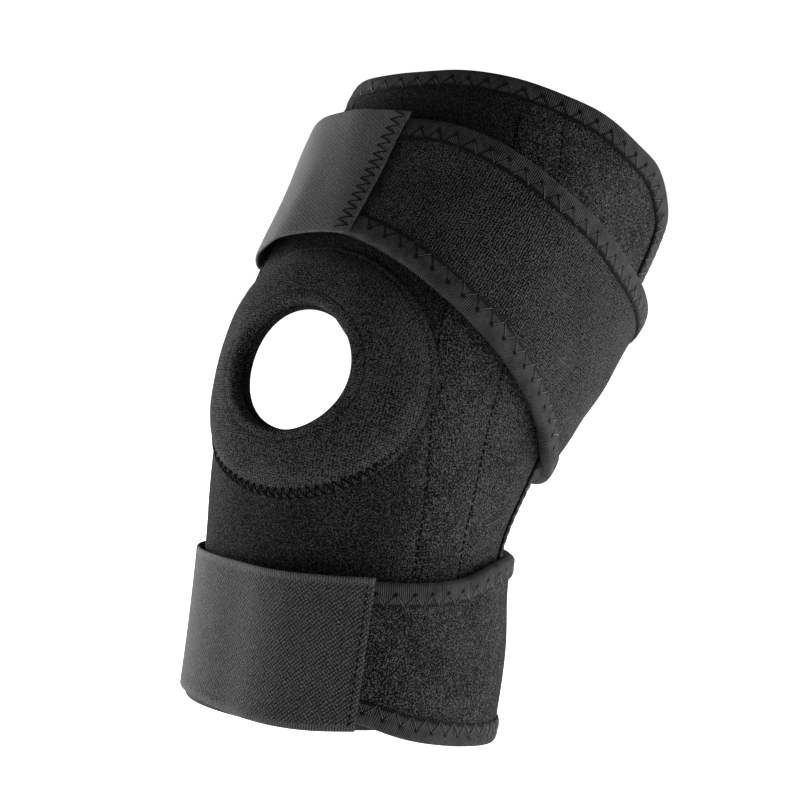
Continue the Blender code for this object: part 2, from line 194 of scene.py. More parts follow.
def closed_outline(rows, spacing):
    """A smooth closed path of (angle, station) through a table of the panel's outline."""
    corners = np.array([(angle, station_at(share)) for angle, share in rows], float)
    around = np.vstack([corners[-2:], corners, corners[:3]])
    steps = np.diff(around, axis=0) * (np.radians(KNEE_HALF_WIDTH), 1.0)
    length = np.concatenate([[0.0], np.cumsum(np.linalg.norm(steps, axis=1))])
    start, end = length[2], length[2 + len(corners)]
    where = np.linspace(start, end, round((end - start) / spacing), endpoint=False)
    table = np.column_stack([length, around])
    return np.column_stack([smooth_through(table, where, 1), smooth_through(table, where, 2)])


def front_ellipse(width, height, count):
    """An ellipse round the patella, as a path of (angle, station)."""
    front = KNEE_FRONT + BODY_WALL
    stretch = 1 + front * np.radians(THIGH_TILT - CALF_TILT) / BEND_LENGTH
    turn = np.linspace(0, 2 * np.pi, count, endpoint=False)
    angle = HOLE_ANGLE + np.degrees(np.cos(turn) * width / 2 / front)
    return np.column_stack([angle, HOLE_STATION + np.sin(turn) * height / 2 / stretch])


def ramp(value, low, high):
    """0 at low and 1 at high, smooth between them; low may be the larger."""
    t = np.clip((value - low) / (high - low), 0.0, 1.0)
    return t * t * (3 - 2 * t)


class Wire:
    """A number on its way through a material; sums on it add Math nodes."""

    def __init__(self, finish, socket):
        self.finish = finish
        self.socket = socket

    def sum(self, operation, *others):
        sockets = dict(enumerate((self, *others)))
        return self.finish.node("ShaderNodeMath", {"operation": operation}, sockets)

    def __add__(self, other):
        return self.sum("ADD", other)

    def __mul__(self, other):
        return self.sum("MULTIPLY", other)

    def __sub__(self, other):
        return self.sum("SUBTRACT", other)

    def __rsub__(self, other):
        return self * -1.0 + other

    def __truediv__(self, other):
        return self.sum("DIVIDE", other)

    __radd__, __rmul__ = __add__, __mul__

    def wave(self, length):
        """A smooth wave from 0 to 1 of a length in metres."""
        return (self * (2 * np.pi / length)).sum("SINE") * 0.5 + 0.5

    def within(self, low, high):
        """0 below low and 1 above high, smooth between them; low may be the larger."""
        settings = {"interpolation_type": "SMOOTHSTEP"}
        sockets = {"Value": self, "From Min": low, "From Max": high}
        return self.finish.node("ShaderNodeMapRange", settings, sockets)


class Finish:
    """The material of one cloth or thread."""

    def __init__(self, name, roughness, sheen, sheen_roughness=0.5, specular=0.25):
        self.material = bpy.data.materials.new(name)
        self.material.use_nodes = True
        self.tree = self.material.node_tree
        self.shader = self.tree.nodes["Principled BSDF"]
        self.shader.inputs["Roughness"].default_value = roughness
        self.shader.inputs["Specular IOR Level"].default_value = specular
        self.shader.inputs["Sheen Weight"].default_value = sheen
        self.shader.inputs["Sheen Roughness"].default_value = sheen_roughness

    def node(self, kind, settings=None, sockets=None, out=0):
        made = self.tree.nodes.new(kind)
        for key, value in (settings or {}).items():
            setattr(made, key, value)
        for key, value in (sockets or {}).items():
            if isinstance(value, Wire):
                self.tree.links.new(value.socket, made.inputs[key])
            else:
                made.inputs[key].default_value = value
        return Wire(self, made.outputs[out])

    def flat(self):
        """The two coordinates of the cloth laid flat, in metres."""
        place = self.node("ShaderNodeUVMap", {"uv_map": "cloth"})
        apart = self.node("ShaderNodeSeparateXYZ", None, {0: place})
        return apart, Wire(self, apart.socket.node.outputs[1])

    def zone(self):
        """The share of a cloth's second zone: its pile, the painted shade of its creases or its selvedges.
        """
        return self.node("ShaderNodeAttribute", {"attribute_name": "zone"}, None, "Fac")

    def noise(self, size, detail=2.0, roughness=0.6):
        """Unevenness of a size in metres, about 0.5, fixed in space."""
        place = self.node("ShaderNodeTexCoord", out="Object")
        sockets = {"Vector": place, "Scale": 1.0 / size, "Detail": detail, "Roughness": roughness}
        return self.node("ShaderNodeTexNoise", {"noise_dimensions": "3D"}, sockets)

    def painted(self, dark, light, share, height, depth):
        """Colours between two by a share, and relief of a depth in metres by a height."""
        mixed = self.tree.nodes.new("ShaderNodeMix")
        mixed.data_type = "RGBA"
        mixed.inputs["A"].default_value = (*dark, 1.0)
        mixed.inputs["B"].default_value = (*light, 1.0)
        self.tree.links.new(share.socket, mixed.inputs["Factor"])
        colour = next(o for o in mixed.outputs if o.type == "RGBA")
        self.tree.links.new(colour, self.shader.inputs["Base Color"])
        relief = self.node("ShaderNodeBump", None, {"Strength": 1.0, "Distance": depth, "Height": height})
        self.tree.links.new(relief.socket, self.shader.inputs["Normal"])
        return self.material


def tint(level, warm=0.0):
    """A near black, faintly violet where warm is above 0."""
    return (level * (1 + warm), level * (1 - warm), level * (1 + warm * 1.6))


# sizes of the cloth's unevenness, from single fibres to worn patches
GRIT_SIZE, CRUMB_SIZE, CLUMP_SIZE, PANEL_CLOUD_SIZE = 0.0004, 0.0006, 0.0030, 0.022

panel_finish = Finish("looped_foam_cloth", 0.95, 0.03, 0.5, 0.06)
pile = panel_finish.zone()
crumbs = panel_finish.noise(CRUMB_SIZE, 1.0, 0.5)
grit = panel_finish.noise(GRIT_SIZE, 1.0, 0.5)
clumps = panel_finish.noise(CLUMP_SIZE, 1.0, 0.5)
clouds = panel_finish.noise(PANEL_CLOUD_SIZE, 2.0, 0.5)
surface = crumbs + grit * 0.5 + clumps * pile * 0.12 - pile * 0.06
brightness = surface + (clouds - 0.5) * 0.16
share = brightness.within(0.71, 0.90) * (pile * 0.50 + 0.50)
looped_cloth = panel_finish.painted(tint(0.0004), tint(0.108, 0.02), share, surface, 0.0018)


def skin(name, points, faces, flat, material, zone=None):
    """A mesh of the cloth with its flat map, shaded smooth, and the share of its second zone."""
    mesh = bpy.data.meshes.new(name)
    mesh.from_pydata(points.tolist(), [], faces)
    corners = np.empty(len(mesh.loops), int)
    mesh.loops.foreach_get("vertex_index", corners)
    layer = mesh.uv_layers.new(name="cloth")
    layer.data.foreach_set("uv", flat[corners].ravel())
    if zone is not None:
        attribute = mesh.attributes.new("zone", "FLOAT", "POINT")
        attribute.data.foreach_set("value", zone.astype(float))
    mesh.materials.append(material)
    mesh.shade_smooth()
    piece = bpy.data.objects.new(name, mesh)
    bpy.context.scene.collection.objects.link(piece)
    return piece


def stay_relief(angle, station):
    """Pockets a little proud of the panel, pinched along their seams."""
    height = 0.0 * angle
    for rows in (NEAR_STAY, FAR_STAY):
        first, last = (smooth_through(rows, station, column) for column in (1, 2))
        foot, head = rows[0][0], rows[-1][0]
        ends = ramp(station, foot - POCKET_FOOT, foot) * ramp(station, head + POCKET_HEAD, head)
        inside = np.clip((angle - first) / (last - first), 0.0, 1.0)
        height = height + POCKET_RELIEF * (4 * inside * (1 - inside)) ** 0.5 * ends
        for seam in (first, last):
            apart = np.radians(angle - seam) * KNEE_HALF_WIDTH
            height = height - POCKET_RELIEF * np.exp(-((apart / SEAM_WIDTH) ** 2)) * ends
    return height


# the panel's mesh: distance of its points up the leg and in degrees round it, and their least
# distance from the cut edges
PANEL_STEP, PANEL_TURN, EDGE_CLEARANCE, OPENING_POINTS = 0.0022, 2.0, 0.0012, 110

cut = closed_outline(PANEL_OUTLINE, PANEL_STEP)
rim = moved_in(cut, -EDGE_INSET, closed=True)
opening = front_ellipse(HOLE_WIDTH, HOLE_HEIGHT, OPENING_POINTS)
rings = np.vstack([rim, opening])
to_flat = np.array([np.radians(KNEE_HALF_WIDTH), 1.0])
columns = np.arange(rim[:, 0].min(), rim[:, 0].max(), PANEL_TURN)
rows = np.arange(rim[:, 1].min(), rim[:, 1].max(), PANEL_STEP)
inner = np.stack(np.meshgrid(columns, rows), -1).reshape(-1, 2)
apart = np.linalg.norm((inner[:, None] - rings[None]) * to_flat, axis=2).min(axis=1)
laid = np.vstack([rings, inner[apart > EDGE_CLEARANCE]]) * to_flat
borders = []
for first, count in ((0, len(rim)), (len(rim), len(opening))):
    borders += [(first + i, first + (i + 1) % count) for i in range(count)]
corners, _, triangles, *_ = delaunay_2d_cdt([Vector(point) for point in laid], borders, [], 1, 1e-7)
drawn = np.array([tuple(corner) for corner in corners]) / to_flat
centre, reach = opening.mean(axis=0), (opening - opening.mean(axis=0)).max(axis=0)
middles = drawn[np.array([list(t) for t in triangles])].mean(axis=1)
kept = [list(t) for t, m in zip(triangles, middles) if np.linalg.norm((m - centre) / reach) >= 1.0]
used = np.unique(np.array(kept))
order = np.full(len(drawn), -1)
order[used] = np.arange(len(used))
faces = order[np.array(kept)].tolist()
angle, station = drawn[used].T
# the pile begins at the stay pockets, sharply on the thigh and softly on the calf
near_seam, far_seam = smooth_through(NEAR_STAY, station, 1), smooth_through(FAR_STAY, station, 2)
softness = 2.0 + 10.0 * ramp(station, 0.020, -0.050)
near_pile = ramp(angle, near_seam - softness, near_seam + 1.0)
far_pile = ramp(angle, far_seam + softness, far_seam - 1.0)
points = on_leg(angle, station, BODY_WALL / 2 + stay_relief(angle, station))
flat = cloth_map(angle, station)
body_panel = skin("foam_panel", points, faces, flat, looped_cloth, near_pile + far_pile)
wall = body_panel.modifiers.new("Wall", "SOLIDIFY")
wall.thickness, wall.offset, wall.use_even_offset = BODY_WALL, 0.0, True
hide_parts("body_panel")
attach(body_panel, "root")


# Sewing thread
# Jet black thread on the stay pockets, the ring and the straps' ends, and a greyer one on
# the tapes. Both lie in short arched stitches that dive into the cloth at each needle hole.


def thread_tree():
    """Sweeps a round thread along every line of a mesh."""
    tree = bpy.data.node_groups.new("sewn_thread", "GeometryNodeTree")
    for name, way, kind in (
        ("Stitch Lines", "INPUT", "Geometry"),
        ("Thread Radius", "INPUT", "Float"),
        ("Thread Sides", "INPUT", "Int"),
        ("Thread Finish", "INPUT", "Material"),
        ("Thread", "OUTPUT", "Geometry"),
    ):
        tree.interface.new_socket(name, in_out=way, socket_type="NodeSocket" + kind)
    source = tree.nodes.new("NodeGroupInput")
    lines = tree.nodes.new("GeometryNodeMeshToCurve")
    ring = tree.nodes.new("GeometryNodeCurvePrimitiveCircle")
    sweep = tree.nodes.new("GeometryNodeCurveToMesh")
    real = tree.nodes.new("GeometryNodeRealizeInstances")
    smooth = tree.nodes.new("GeometryNodeSetShadeSmooth")
    dress = tree.nodes.new("GeometryNodeSetMaterial")
    result = tree.nodes.new("NodeGroupOutput")
    sweep.inputs["Fill Caps"].default_value = True
    for start, end in (
        (source.outputs["Stitch Lines"], lines.inputs["Mesh"]),
        (source.outputs["Thread Sides"], ring.inputs["Resolution"]),
        (source.outputs["Thread Radius"], ring.inputs["Radius"]),
        (lines.outputs["Curve"], sweep.inputs["Curve"]),
        (ring.outputs["Curve"], sweep.inputs["Profile Curve"]),
        (sweep.outputs["Mesh"], smooth.inputs["Geometry"]),
        (smooth.outputs["Geometry"], real.inputs["Geometry"]),
        (real.outputs["Geometry"], dress.inputs["Geometry"]),
        (source.outputs["Thread Finish"], dress.inputs["Material"]),
        (dress.outputs["Geometry"], result.inputs["Thread"]),
    ):
        tree.links.new(start, end)
    return tree


thread_sweep = thread_tree()

FIBRE_SIZE, FIBRE_RELIEF, THREAD_SIDES = 0.0008, 0.00005, 6


def thread(finish, dark, light):
    fibres = finish.noise(FIBRE_SIZE, 1.0)
    return finish.painted(tint(dark), tint(light), fibres, fibres, FIBRE_RELIEF)


jet_thread = thread(Finish("jet_thread", 0.90, 0.0, 0.4, 0.04), 0.0006, 0.004)
grey_thread = thread(Finish("grey_thread", 0.55, 0.15, 0.4, 0.4), 0.030, 0.105)


def sewn(name, stitches, radius, finish):
    """One piece of thread through a list of stitches, each an array of points."""
    points = np.vstack(stitches)
    edges = []
    first = 0
    for stitch in stitches:
        edges += [(first + i, first + i + 1) for i in range(len(stitch) - 1)]
        first += len(stitch)
    mesh = bpy.data.meshes.new(name)
    mesh.from_pydata(points.tolist(), edges, [])
    guide = bpy.data.objects.new(name + "_guide", mesh)
    bpy.context.scene.collection.objects.link(guide)
    sweep = guide.modifiers.new("Thread", "NODES")
    sweep.node_group = thread_sweep
    values = {"Thread Radius": radius, "Thread Sides": THREAD_SIDES, "Thread Finish": finish}
    for item in thread_sweep.interface.items_tree:
        if item.in_out == "INPUT" and item.name in values:
            sweep[item.identifier] = values[item.name]
    graph = bpy.context.evaluated_depsgraph_get()
    made = bpy.data.meshes.new_from_object(guide.evaluated_get(graph))
    bpy.data.objects.remove(guide, do_unlink=True)
    piece = bpy.data.objects.new(name, made)
    bpy.context.scene.collection.objects.link(piece)
    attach(piece, "root")
    return piece


def stitches_on(path, legs, height, arch=0.00022, dive=0.0004, sunk=0.0):
    """Arched stitches between pairs of points of a path, pulled in unevenly where they are sunk."""
    share = np.linspace(0.0, 1.0, 6)
    lift = arch * np.sin(np.pi * share) - dive * (np.abs(2 * share - 1) ** 6)
    made = []
    for number, (first, last) in enumerate(legs):
        line = path[first] + (path[last] - path[first]) * share[:, None]
        level = height[first] + (height[last] - height[first]) * share
        drift = np.sin(number * 2.4) * 0.25 + np.sin(number * 0.13 + 1.0) * 0.35
        depth = sunk * (0.55 + drift if number % 2 else 0.85 + drift)
        made.append(on_leg(line[:, 0], line[:, 1], level + lift - depth))
    return made


def measured(path, height, pitch, closed):
    """The path up to where it closes, its length at each point, and its even number of steps."""
    loop = np.vstack([path, path[:1]]) if closed else path
    laid = on_leg(loop[:, 0], loop[:, 1], np.full(len(loop), height))
    run = np.concatenate([[0.0], np.cumsum(np.linalg.norm(np.diff(laid, axis=0), axis=1))])
    return loop, run, 2 * round(run[-1] / pitch / 2)


def even_steps(path, pitch, closed=False, height=BODY_WALL):
    """The path cut at even distances on the cloth."""
    loop, run, count = measured(path, height, pitch, closed)
    where = np.linspace(0.0, run[-1], count + 1)[: -1 if closed else None]
    return np.column_stack([np.interp(where, run, loop[:, 0]), np.interp(where, run, loop[:, 1])])


def every_other(path):
    """The legs of a running stitch, which shows on every other step."""
    return [(i, i + 1) for i in range(0, len(path) - 1, 2)]


POCKET_PITCH, POCKET_THREAD, PROUD_OF_SEAM = 0.0015, 0.00030, 0.0006

pocket_stitches = []
for rows_of_stay, low, high in ((NEAR_STAY, -0.073, 0.106), (FAR_STAY, -0.073, 0.098)):
    for column in (1, 2):
        where = np.linspace(low, high, 200)
        seam = np.column_stack([smooth_through(rows_of_stay, where, column), where])
        seam = even_steps(seam, POCKET_PITCH)
        level = BODY_WALL + stay_relief(*seam.T) + PROUD_OF_SEAM
        pocket_stitches += stitches_on(seam, every_other(seam), level)
pocket_thread = sewn(
    "stay_pocket_stitches", pocket_stitches, POCKET_THREAD, jet_thread,
)


# Edge binding
# Ribbed black knit tape, folded over each cut edge and held by one broad zigzag from its
# middle to its inner border, which pinches it into small dimples.

# inset from the edge as a share of the tape's width, height over the sheet in mm
TAPE_SECTION = (
    (1.00, 0.12), (1.015, 0.45), (0.98, 0.85), (0.86, 1.18), (0.66, 1.38), (0.46, 1.42),
    (0.26, 1.36), (0.12, 1.12), (0.03, 0.62),
)
# where the fold meets the sheet's rim as a share of its inset, the gap to the sheet, and how far
# the stitches pinch the tape's face and draw its border
TAPE_SLIT, TAPE_CLEARANCE, TAPE_PUCKER, TAPE_SCALLOP = 0.8, 0.00012, 0.00012, 0.00022
SCALLOPED_LINES, TAPE_NOSE, BLOTCH_SIZE = 3, -0.0002, 0.006
ZIGZAG_PITCH, ZIGZAG_INNER, ZIGZAG_OUTER = 0.0040, 0.0097, 0.0048
ZIGZAG_THREAD, PROUD_OF_TAPE, RIB_PITCH = 0.00017, 0.00015, 0.00085
# the hidden side of the fold has its own strip of the flat map, beyond the tape's width
UNDERSIDE_START, UNDERSIDE_STEP = 0.02, 0.0008

tape_finish = Finish("ribbed_tape", 0.85, 0.05, 0.4, 0.12)
lengthwise, across = tape_finish.flat()
ribs = lengthwise.wave(RIB_PITCH)
grain = tape_finish.noise(CRUMB_SIZE, 2.0, 0.7)
blotches = tape_finish.noise(BLOTCH_SIZE, 2.0, 0.6)
beat = (lengthwise / (2 * ZIGZAG_PITCH)).sum("FRACT") - 0.5
from_needles = across - ZIGZAG_OUTER
near_needle = (beat * beat * (4 * ZIGZAG_PITCH**2) + from_needles * from_needles).sum("SQRT")
dimple = near_needle.within(0.0017, 0.0003)
thread_line = beat.sum("ABSOLUTE") * (2 * (ZIGZAG_INNER - ZIGZAG_OUTER)) + ZIGZAG_OUTER
furrow = (across - thread_line).sum("ABSOLUTE").within(0.0011, 0.0004)
# painted shadow along the tape's inner border, where it meets the cloth
border_shadow = across.within(0.0078, 0.0094) * (1 - across.within(0.012, 0.0125))
relief = ribs * 0.6 + grain * 0.7 + blotches * 1.4 - dimple * 2.2 - furrow * 0.9
# painted shade: the tape's colour darkens in the needle dimples and in a furrow along the zigzag thread
lit = (1 - dimple * 0.95) * (1 - border_shadow * 0.97) * (1 - furrow * 0.65)
shade = (ribs * 0.55 + grain * 0.80 + blotches * 0.80 - 0.62) * lit
ribbed_tape = tape_finish.painted(tint(0.0010), tint(0.074), shade.within(0.10, 0.78), relief, 0.00075)


def tape_lift(inset):
    """Height of the tape's outer face over its sheet, by the distance in from the edge."""
    shares = np.array([share for share, _ in TAPE_SECTION][::-1])
    levels = np.array([level for _, level in TAPE_SECTION][::-1]) / 1000
    return np.interp(inset / TAPE_WIDTH, shares[:-2], levels[:-2])


def folded_tape(name, node, path, inward, middle, sheet_wall, drop, closed):
    """The tape itself, from its section moved along the edge."""
    outer = [(share * TAPE_WIDTH, level / 1000 + sheet_wall / 2) for share, level in TAPE_SECTION]
    under = [(inset, -level) for inset, level in outer[::-1]]
    lip = sheet_wall / 2 + TAPE_CLEARANCE
    slit = [(EDGE_INSET * TAPE_SLIT, -lip), (EDGE_INSET * TAPE_SLIT, lip)]
    section = outer + [(TAPE_NOSE, 0.0)] + under + slit
    fold = len(outer)
    _, run, count = measured(path, middle, ZIGZAG_PITCH, closed)
    stretch = count * ZIGZAG_PITCH / run[-1]
    ripple = np.cos(2 * np.pi * run[: len(path)] * stretch / ZIGZAG_PITCH)
    lines, widths = [], []
    for k, (inset, level) in enumerate(section):
        pinch = ripple * (TAPE_PUCKER if 0 < k < fold - 1 else 0.0)
        scallop = ripple * (TAPE_SCALLOP if k < SCALLOPED_LINES else 0.0)
        line = moved_in(path, inward * (inset + scallop), closed)
        lines.append(on_leg(line[:, 0], line[:, 1], middle + level - pinch - drop(line[:, 0])))
        widths.append(inset if k <= fold else UNDERSIDE_START + k * UNDERSIDE_STEP)
    grid = np.array(lines)
    sections, length = grid.shape[:2]
    laps = length if closed else length - 1
    spots = np.arange(sections * length).reshape(sections, length)
    faces, flats = [], []
    for k in range(sections):
        m = (k + 1) % sections
        for i in range(laps):
            j = (i + 1) % length
            quad = (spots[k, i], spots[k, j], spots[m, j], spots[m, i])
            faces.append(quad if inward > 0 else quad[::-1])
            near, far = run[i] * stretch, run[i + 1] * stretch
            wide, next_wide = widths[k], widths[m or k]
            flat_quad = ((near, wide), (far, wide), (far, next_wide), (near, next_wide))
            flats.append(flat_quad if inward > 0 else flat_quad[::-1])
    if not closed:
        for i in (0, length - 1):
            cap = [int(spot) for spot in spots[:, i]]
            facing_out = (i == 0) == (inward > 0)
            faces.append(cap if facing_out else cap[::-1])
            flats.append([(run[i], UNDERSIDE_START)] * sections)
    mesh = bpy.data.meshes.new(name)
    mesh.from_pydata(grid.reshape(-1, 3).tolist(), [], [[int(v) for v in face] for face in faces])
    layer = mesh.uv_layers.new(name="cloth")
    layer.data.foreach_set("uv", np.array([c for face in flats for c in face]).ravel())
    mesh.materials.append(ribbed_tape)
    mesh.shade_smooth()
    piece = bpy.data.objects.new(name, mesh)
    bpy.context.scene.collection.objects.link(piece)
    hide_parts(node)
    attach(piece, "root")
    return piece


def bound_edge(
    name, node, path, inward, middle, sheet_wall, drop=np.zeros_like, closed=False, sunk=0.00036,
):
    """The folded tape round one edge, and its zigzag."""
    tape = folded_tape(name, node, path, inward, middle, sheet_wall, drop, closed)
    needle = even_steps(path, ZIGZAG_PITCH, closed, middle)
    insets = np.where(np.arange(len(needle)) % 2, ZIGZAG_OUTER, ZIGZAG_INNER)
    needle = moved_in(needle, inward * insets, closed)
    level = middle + sheet_wall / 2 + tape_lift(insets) - drop(needle[:, 0]) + PROUD_OF_TAPE
    legs = [(i, (i + 1) % len(needle)) for i in range(len(needle) if closed else len(needle) - 1)]
    stitches = stitches_on(needle, legs, level, sunk=sunk)
    return [tape, sewn(name + "_zigzag", stitches, ZIGZAG_THREAD, grey_thread)]


TAPE_STEP = 0.0013

panel_edge = closed_outline(PANEL_OUTLINE, TAPE_STEP)
on_panel = bound_edge("panel_tape", "body_binding", panel_edge, -1, BODY_WALL / 2, BODY_WALL, closed=True)


# Patella ring
# A soft domed pad covered in smooth jersey, sewn flat round its outer border with one dense
# zigzag, creased near the opening and turned in there.

PAD_WIDTH, PAD_HEIGHT, PAD_THICKNESS, PAD_SIDES = 0.121, 0.105, 0.0052, 200
# share of the way out from the opening, share of the thickness, depth of the painted shade in the crease
# near the opening and at the pad's outer foot
PAD_SECTION = (
    (0.00, 0.04, 0), (0.10, 0.00, 0), (0.50, 0.00, 0), (0.97, 0.00, 0), (1.00, 0.05, 0.35),
    (0.985, 0.14, 0.35), (0.95, 0.20, 0), (0.91, 0.21, 0), (0.885, 0.27, 0), (0.84, 0.44, 0),
    (0.76, 0.68, 0), (0.66, 0.86, 0), (0.54, 0.97, 0), (0.42, 1.00, 0), (0.30, 1.00, 0),
    (0.23, 0.995, 0), (0.185, 0.985, 0), (0.165, 0.94, 1), (0.145, 0.98, 0), (0.09, 0.97, 0),
    (0.04, 0.93, 0), (0.012, 0.76, 0), (0.00, 0.45, 0),
)
PAD_CLOUD_SIZE, JERSEY_WALE, JERSEY_COURSE = 0.018, 0.00115, 0.0010
BORDER_PITCH, BORDER_THREAD, BORDER_ARCH = 0.0018, 0.00032, 0.0008
# the two sides of the border's zigzag, as shares of the way out from the opening
BORDER_INNER, BORDER_OUTER = 0.848, 1.024
# height of its inner side on the pad's slope, and how deep it lies above two heights, which are
# stations under the opening's middle
BORDER_SLOPE, BORDER_SINK, SINK_START, SINK_FULL = 0.45, 0.0012, 0.036, 0.014

pad_finish = Finish("pad_jersey", 0.95, 0.03, 0.5, 0.06)
around, along = pad_finish.flat()
crease_shadow = pad_finish.zone()
crumbs = pad_finish.noise(CRUMB_SIZE, 1.0, 0.5)
grit = pad_finish.noise(GRIT_SIZE, 1.0, 0.5)
clouds = pad_finish.noise(PAD_CLOUD_SIZE, 2.0, 0.5)
fine_knit = crumbs + grit * 0.5 + (around.wave(JERSEY_WALE) + along.wave(JERSEY_COURSE)) * 0.10
brightness = fine_knit + (clouds - 0.5) * 0.2
# painted shade darkens the jersey in the crease near the opening and along the pad's outer foot
share = brightness.within(0.76, 0.96) * (1 - crease_shadow * 0.6)
pad_jersey = pad_finish.painted(tint(0.0006), tint(0.078), share, fine_knit, 0.0016)

inner = front_ellipse(HOLE_WIDTH + 2 * GAP, HOLE_HEIGHT + 2 * GAP, PAD_SIDES)
outer = front_ellipse(PAD_WIDTH, PAD_HEIGHT, PAD_SIDES)
points, flats, creased = [], [], []
for across_pad, up, shade_depth in PAD_SECTION:
    line = inner + (outer - inner) * across_pad
    points.append(on_leg(line[:, 0], line[:, 1], BODY_WALL + GAP + up * PAD_THICKNESS))
    flats.append(cloth_map(line[:, 0], line[:, 1]))
    creased += [shade_depth] * PAD_SIDES
spots = np.arange(len(PAD_SECTION) * PAD_SIDES).reshape(len(PAD_SECTION), PAD_SIDES)
faces = []
for k in range(len(PAD_SECTION)):
    m = (k + 1) % len(PAD_SECTION)
    for i in range(PAD_SIDES):
        j = (i + 1) % PAD_SIDES
        faces.append([int(v) for v in (spots[k, j], spots[k, i], spots[m, i], spots[m, j])])
patella_pad = skin(
    "patella_pad", np.vstack(points), faces, np.vstack(flats), pad_jersey, np.array(creased),
)
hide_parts("patella_ring")
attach(patella_pad, "root")

# the thread lies deeper in the ring's upper part than low at the front
count = 2 * round(len(even_steps(outer, BORDER_PITCH, closed=True)) / 2)
turns = np.arange(count) * PAD_SIDES / count
sides = []
for share_out in (BORDER_INNER, BORDER_OUTER):
    line = inner + (outer - inner) * share_out
    line = np.vstack([line, line[:1]])
    sides.append(np.column_stack([np.interp(turns, np.arange(PAD_SIDES + 1), line[:, k]) for k in (0, 1)]))
beyond = np.arange(count) % 2
needle = np.where(beyond[:, None], sides[1], sides[0])
upper = ramp(needle[:, 1], float(centre[1]) - SINK_START, float(centre[1]) - SINK_FULL)
on_pad = BODY_WALL + GAP + BORDER_SLOPE * PAD_THICKNESS
level = np.where(beyond, BODY_WALL + GAP, on_pad) - BORDER_SINK * upper
legs = [(i, (i + 1) % count) for i in range(count)]
border = stitches_on(needle, legs, level, arch=BORDER_ARCH)
sewn("pad_border_stitches", border, BORDER_THREAD, jet_thread)


# Thigh wing
# A knitted wing whose wales run on the slant, sewn on at the -X flank, drawn round the back
# of the thigh and forward over the panel. Both long edges are bound.

WING_WALL = 0.0026
WING_LEVEL = BODY_WALL + 3 * GAP + 2 * TAPE_WALL
WING_ROOT = 278.0
THIGH_WING_TOP = (
    (-20, 0.64), (3, 0.664), (15, 0.676), (32, 0.672), (53, 0.658), (71, 0.668), (89, 0.678), (111, 0.702),
    (135, 0.73), (165, 0.76), (200, 0.77), (240, 0.76), (278, 0.72),
)
THIGH_WING_BOTTOM = (
    (-20, 0.275), (0, 0.265), (22, 0.225), (39, 0.18), (59, 0.125), (74, 0.08), (94, 0.006), (108, -0.068),
    (120, -0.104), (135, -0.122), (150, -0.10), (175, -0.02), (200, 0.13), (215, 0.225), (230, 0.31),
    (246, 0.385), (260, 0.415), (278, 0.44),
)
WING_DROP = ((-20, 0.0), (262, 0.0), (269.5, 0.0), (276, 0.95), (278, 1.0))
WALE_SLANT, WALE_PITCH, LOOP_PITCH = 3.0, 0.00105, 0.0012
WOBBLE_SIZE, KNIT_CLOUD_SIZE = 0.0025, 0.02
THIGH_WING_FRONT, WING_STEP, THIGH_SWELL, THIGH_TAPE_POINTS = -20.0, 1.6, 0.00022, 300

knit_finish = Finish("slanted_knit", 0.95, 0.03, 0.5, 0.06)
around, along = knit_finish.flat()
slant = np.radians(WALE_SLANT)
over_wales = around * np.cos(slant) - along * np.sin(slant)
down_wales = around * np.sin(slant) + along * np.cos(slant)
wobble = knit_finish.noise(WOBBLE_SIZE, 1.0)
strand = ((over_wales + wobble * 0.0012) / WALE_PITCH).sum("FRACT") - 0.5
ridge = 1 - strand.sum("ABSOLUTE") * 2.0
loops = (down_wales + strand.sum("ABSOLUTE") * 0.0007 + wobble * 0.0015).wave(LOOP_PITCH)
crumbs = knit_finish.noise(CRUMB_SIZE, 1.0, 0.5)
clouds = knit_finish.noise(KNIT_CLOUD_SIZE, 2.0, 0.5)
knit = ridge * 0.36 + loops * 0.16 + crumbs * 1.3
brightness = knit + (clouds - 0.5) * 0.25
share = brightness.within(0.84, 1.02)
slanted_knit = knit_finish.painted(tint(0.0004), tint(0.092, 0.01), share, knit, 0.0018)


def edge(rows, angles):
    """A long edge of a wing or a strap, as a path of (angle, station)."""
    return np.column_stack([angles, station_at(smooth_through(rows, angles))])


def settled(angles):
    """How far the thigh wing has settled on the panel at its sewn root."""
    return (GAP + TAPE_WALL) * np.clip(smooth_through(WING_DROP, angles), 0.0, 1.0)


def swell(angle, station, upward, leaning, around):
    """The slight waves of worn cloth, from -1 to 1, by three wave numbers."""
    return np.sin(station * upward + angle * leaning) * np.sin(angle * around)


def laid_cloth(name, angle, station, height, thickness, material, zone=None):
    """A sheet with both faces and its rim, from arrays of rows and columns."""
    rows, columns = angle.shape
    count = rows * columns
    out = on_leg(angle, station, height + thickness / 2).reshape(-1, 3)
    under = on_leg(angle, station, height - thickness / 2).reshape(-1, 3)
    flat = cloth_map(angle, station).reshape(-1, 2)
    spots = np.arange(count).reshape(rows, columns)
    a, b, c, d = spots[:-1, :-1], spots[:-1, 1:], spots[1:, 1:], spots[1:, :-1]
    quads = np.stack([a, b, c, d], -1).reshape(-1, 4)
    loop = np.concatenate([spots[0, :-1], spots[:-1, -1], spots[-1, :0:-1], spots[:0:-1, 0]])
    following = np.roll(loop, -1)
    rim_quads = np.stack([loop, loop + count, following + count, following], -1)
    faces = np.vstack([quads, quads[:, ::-1] + count, rim_quads]).tolist()
    if zone is not None:
        zone = np.tile(zone.ravel(), 2)
    return skin(name, np.vstack([out, under]), faces, np.vstack([flat, flat]), material, zone)


def wing_places(front, top_rows, bottom_rows, count):
    """Angles and stations of a wing's sheet, inside its tapes."""
    angles = np.linspace(front, WING_ROOT, round((WING_ROOT - front) / WING_STEP) + 1)
    low = moved_in(edge(bottom_rows, angles), EDGE_INSET)
    high = moved_in(edge(top_rows, angles), -EDGE_INSET)
    share = np.linspace(0, 1, count)[:, None, None]
    places = low + (high - low) * share
    return places[..., 0], places[..., 1]


